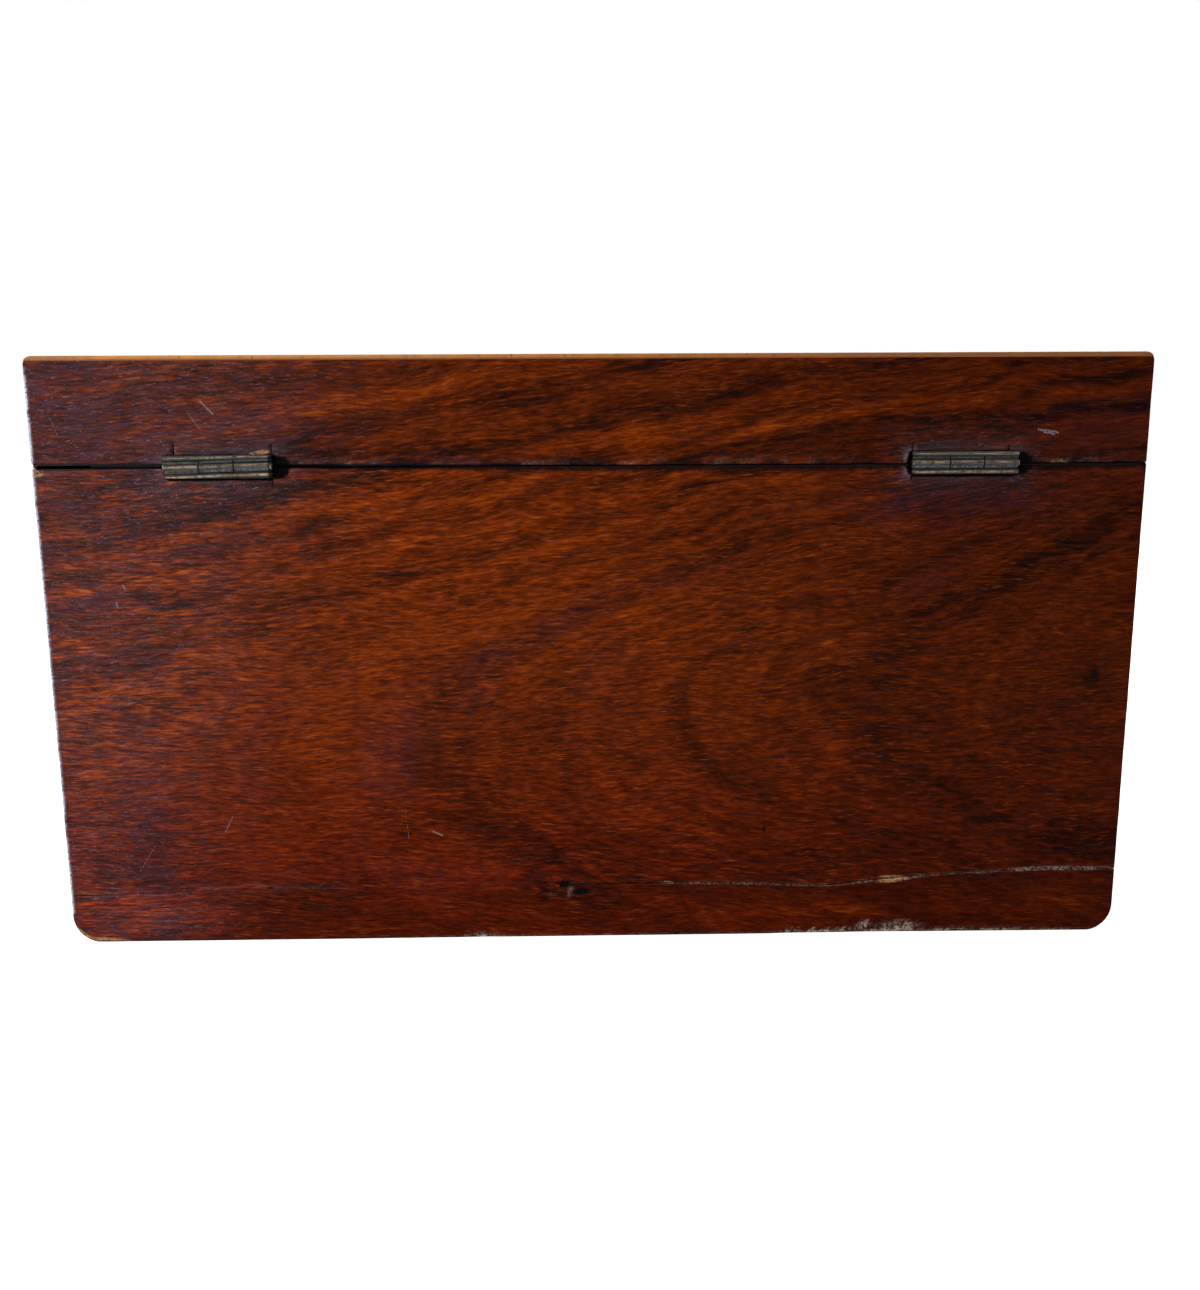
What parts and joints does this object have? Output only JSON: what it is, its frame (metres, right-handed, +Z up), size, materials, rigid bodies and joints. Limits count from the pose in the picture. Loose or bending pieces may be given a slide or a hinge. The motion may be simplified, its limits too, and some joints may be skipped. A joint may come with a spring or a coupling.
{
  "type": "glove box",
  "caption": "Antique veneered wooden glove box with a shallow hinged lid, brass stop hinges, a box lock with its key and a padded silk lining.",
  "frame": {"origin": "centre of the base's underside, on the surface the box stands on", "axes": "+Z up; the lock and key face -Y and the hinges are at +Y; +X is along the box, to the right seen from the front"},
  "size_m": [0.265, 0.1943, 0.1452],
  "materials": {
    "carcass_deal": "raw, aged deal",
    "veneer_rosewood": "red-brown figured veneer, old french polish, semi-gloss, worn",
    "boxwood_line": "yellow boxwood line, polished, worn",
    "silk": "faded watered silk over card and wadding",
    "hinge_brass": "dark patinated cast brass",
    "steel_pin": "dull steel",
    "screw_iron": "darkened hand-cut screws",
    "lock_brass": "aged brass plate",
    "bolt_steel": "filed steel",
    "key_iron": "dark oiled steel, worn bright at the bow"
  },
  "bodies": {
    "carcase": {"base_board": "carcass_deal", "front_board": "carcass_deal", "back_board": "carcass_deal", "left_end_board": "carcass_deal", "right_end_board": "carcass_deal", "back_veneer": "veneer_rosewood", "back_veneer_base_strip": "veneer_rosewood", "front_veneer": "veneer_rosewood", "left_end_veneer": "veneer_rosewood", "right_end_veneer": "veneer_rosewood", "front_lining": "silk", "back_lining": "silk", "left_lining": "silk", "right_lining": "silk", "floor_pad": "silk", "hinge_left_body_leaf": "hinge_brass", "hinge_right_body_leaf": "hinge_brass", "hinge_left_pin": "steel_pin", "hinge_right_pin": "steel_pin", "lock_drill_pin": "steel_pin", "lock_pegs": "steel_pin", "lock_bolt_spring": "steel_pin", "body_hinge_screws": "screw_iron", "lock_screws": "screw_iron", "lock_plate": "lock_brass", "lock_case": "lock_brass", "escutcheon": "lock_brass"},
    "lid": {"lid_top_board": "carcass_deal", "lid_front_rail": "carcass_deal", "lid_back_rail": "carcass_deal", "lid_left_rail": "carcass_deal", "lid_right_rail": "carcass_deal", "lid_top_veneer": "veneer_rosewood", "lid_front_veneer": "veneer_rosewood", "lid_back_veneer": "veneer_rosewood", "lid_left_veneer": "veneer_rosewood", "lid_right_veneer": "veneer_rosewood", "stringing_front": "boxwood_line", "stringing_right": "boxwood_line", "stringing_back": "boxwood_line", "stringing_left": "boxwood_line", "lid_front_lining": "silk", "lid_back_lining": "silk", "lid_left_lining": "silk", "lid_right_lining": "silk", "lid_pad": "silk", "hinge_left_lid_leaf": "hinge_brass", "hinge_right_lid_leaf": "hinge_brass", "lid_hinge_screws": "screw_iron", "link_plate_screws": "screw_iron", "lock_link_plate": "lock_brass"},
    "key": {"key": "key_iron"},
    "bolt": {"lock_bolt": "bolt_steel"}
  },
  "joints": [
    {"name": "lid_hinge", "type": "hinge", "parent": "carcase", "child": "lid", "pos_m": [0, 0.0815, 0.1195], "axis": [-1, 0, 0], "range_deg": [0, 97]},
    {"name": "key_turn", "type": "hinge", "parent": "carcase", "child": "key", "pos_m": [0, -0.08, 0.1021], "axis": [0, 1, 0], "range_deg": [0, 54]},
    {"name": "bolt_slide", "type": "slide", "parent": "carcase", "child": "bolt", "axis": [1, 0, 0], "range_m": [0, 0.005]}
  ],
  "couplings": [
    {"joint": "bolt_slide", "follows": "key_turn", "m_per_rad": 0.005305}
  ]
}
